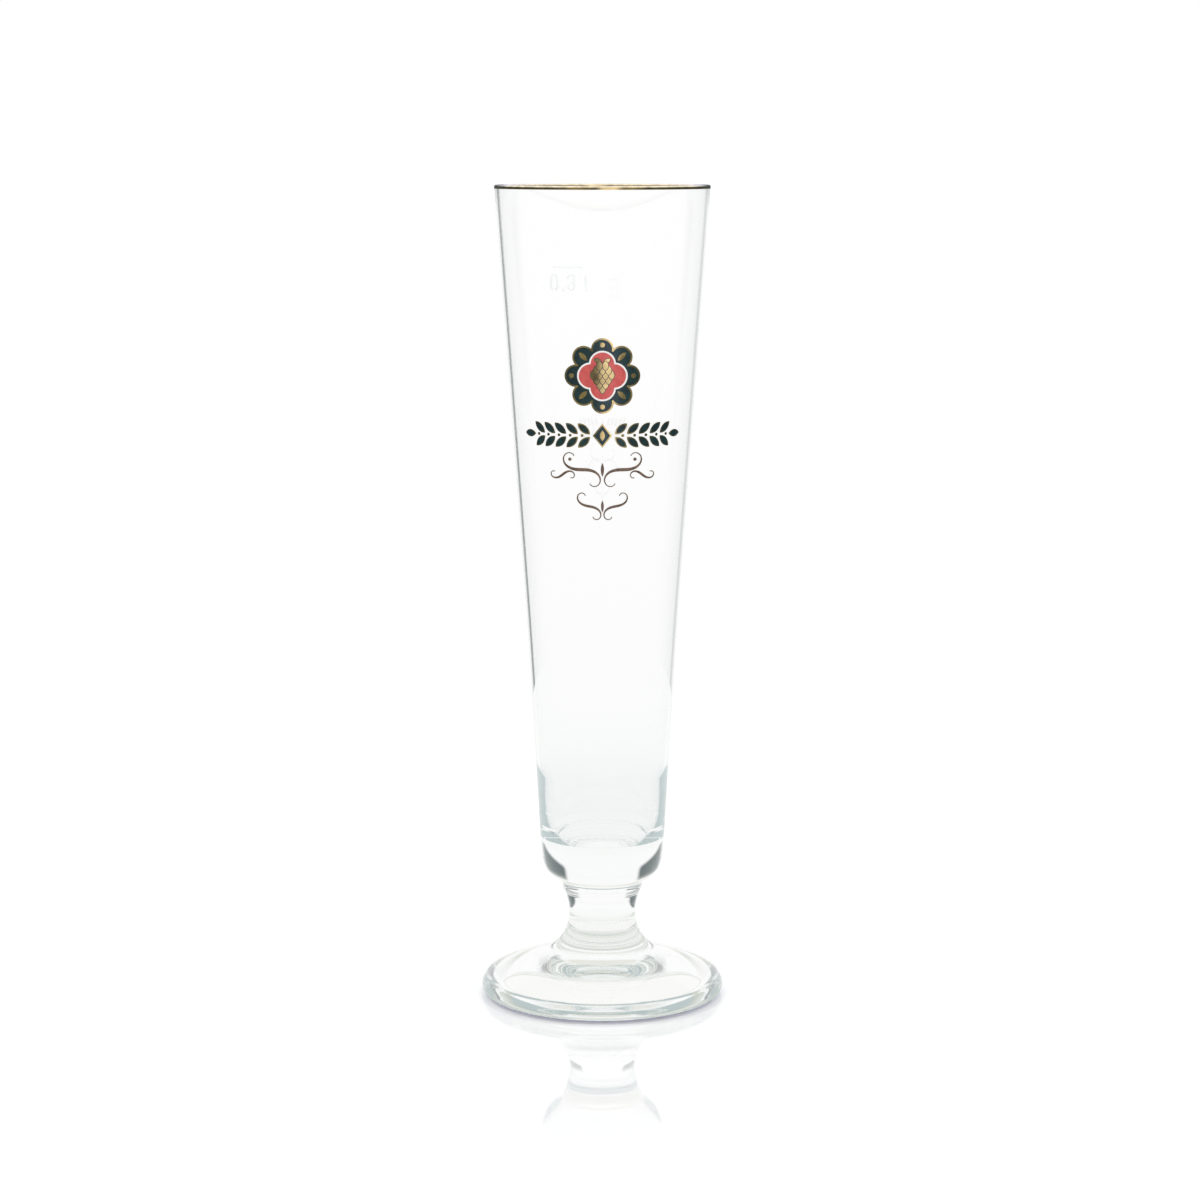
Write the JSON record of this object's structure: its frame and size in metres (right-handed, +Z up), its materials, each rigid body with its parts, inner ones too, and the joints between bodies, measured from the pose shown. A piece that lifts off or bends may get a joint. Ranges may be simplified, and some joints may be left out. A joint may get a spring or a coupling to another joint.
{
  "type": "pilsner glass",
  "caption": "Tall tapered beer glass with a thick solid base, a short waisted stem and a heavy round foot, a gold rim and a printed badge, garland and scrolls on the front.",
  "frame": {"origin": "the middle of the circle that the foot rests on, on the table", "axes": "+Z up along the glass's axis, the badge faces -Y"},
  "size_m": [0.0736, 0.0736, 0.245],
  "materials": {
    "clear_glass": "clear, fire polished",
    "bright_gold": "bright fired gold",
    "dark_enamel": "glossy fired enamel, dark green",
    "red_enamel": "glossy fired enamel, soft red",
    "white_enamel": "glossy fired enamel, white",
    "brown_enamel": "glossy fired enamel, dark brown",
    "scroll_enamel": "fired brown gold",
    "pale_enamel": "thin fired enamel, pale and see-through"
  },
  "bodies": {
    "root": {"bowl": "clear_glass", "stem": "clear_glass", "foot": "clear_glass", "gold_rim": "bright_gold", "fill_line": "pale_enamel", "fill_numerals": "pale_enamel", "badge_edge_gold": "bright_gold", "badge_field": "dark_enamel", "badge_beads": "bright_gold", "medallion_line": "white_enamel", "medallion": "red_enamel", "hop_scales": "bright_gold", "hop_outline": "brown_enamel", "garland_leaves": "dark_enamel", "garland_edges": "bright_gold", "garland_beads": "bright_gold", "upper_scrolls": "scroll_enamel", "lower_scrolls": "scroll_enamel"}
  },
  "joints": []
}
